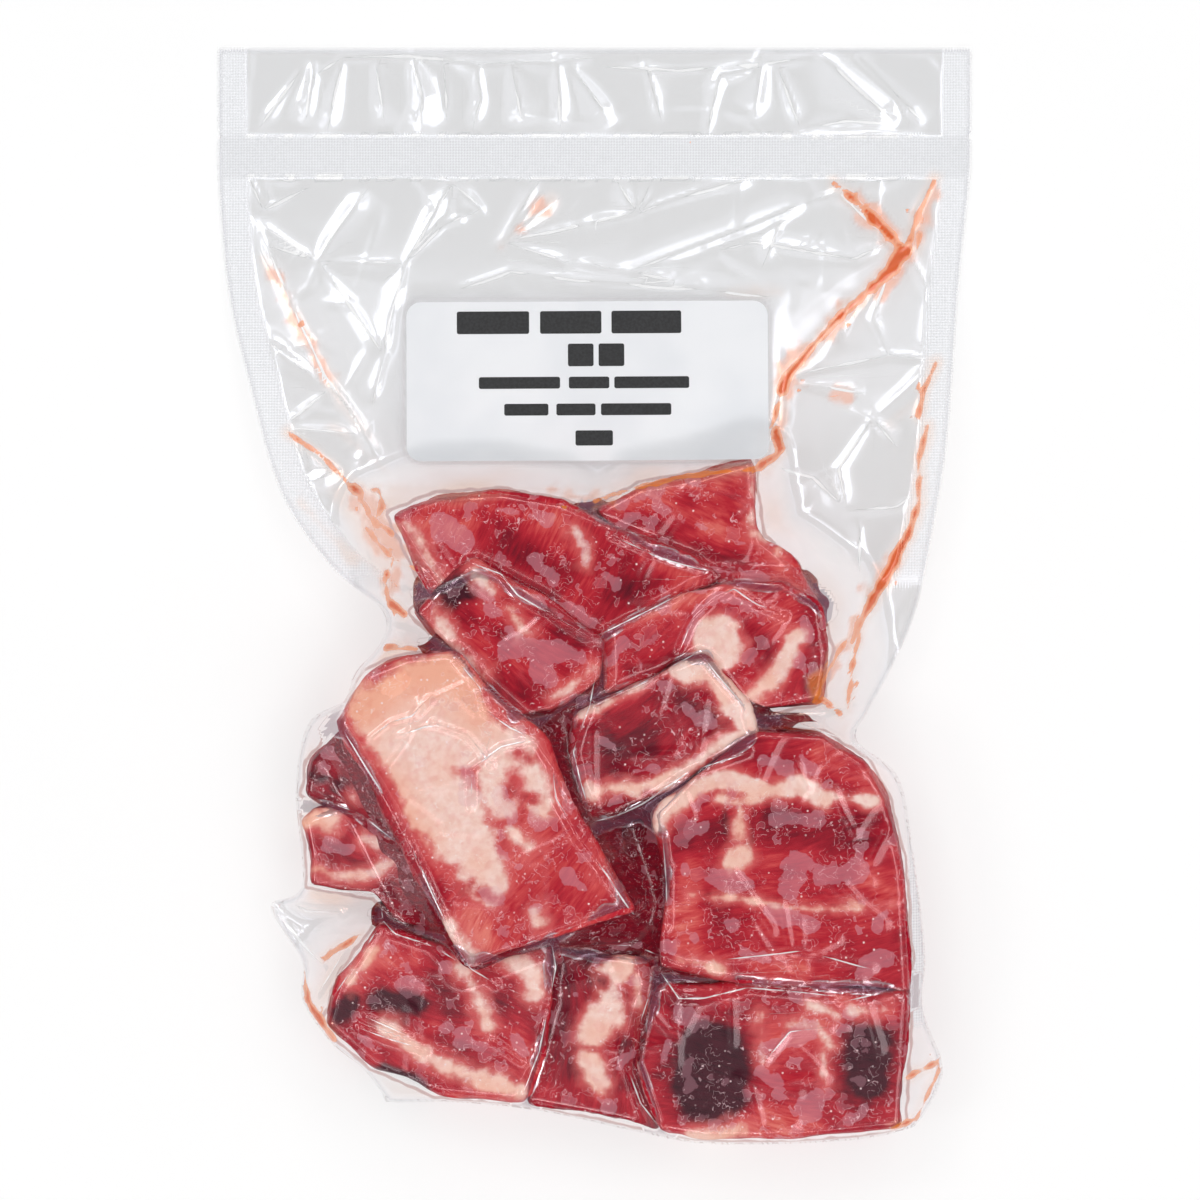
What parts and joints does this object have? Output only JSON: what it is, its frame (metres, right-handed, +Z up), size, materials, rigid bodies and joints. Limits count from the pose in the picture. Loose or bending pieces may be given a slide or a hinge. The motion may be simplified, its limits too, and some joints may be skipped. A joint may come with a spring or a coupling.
{
  "type": "vacuum pack of pork soft bone",
  "caption": "Clear vacuum pouch drawn tight over raw pork soft bone chunks, with a flat sealed flap above the meat and a plain white label on the film.",
  "frame": {"origin": "on the surface that the pack rests on, under the middle of its box", "axes": "+Z up through the label side, +Y towards the open flap at the pouch's mouth, +X to the right of the label"},
  "size_m": [0.18, 0.261, 0.0389],
  "materials": {
    "film": "clear, glossy, creased",
    "meat": "wet, marbled",
    "label": "smooth coated paper"
  },
  "bodies": {
    "root": {"pouch": "film", "label": "label"}
  },
  "joints": []
}
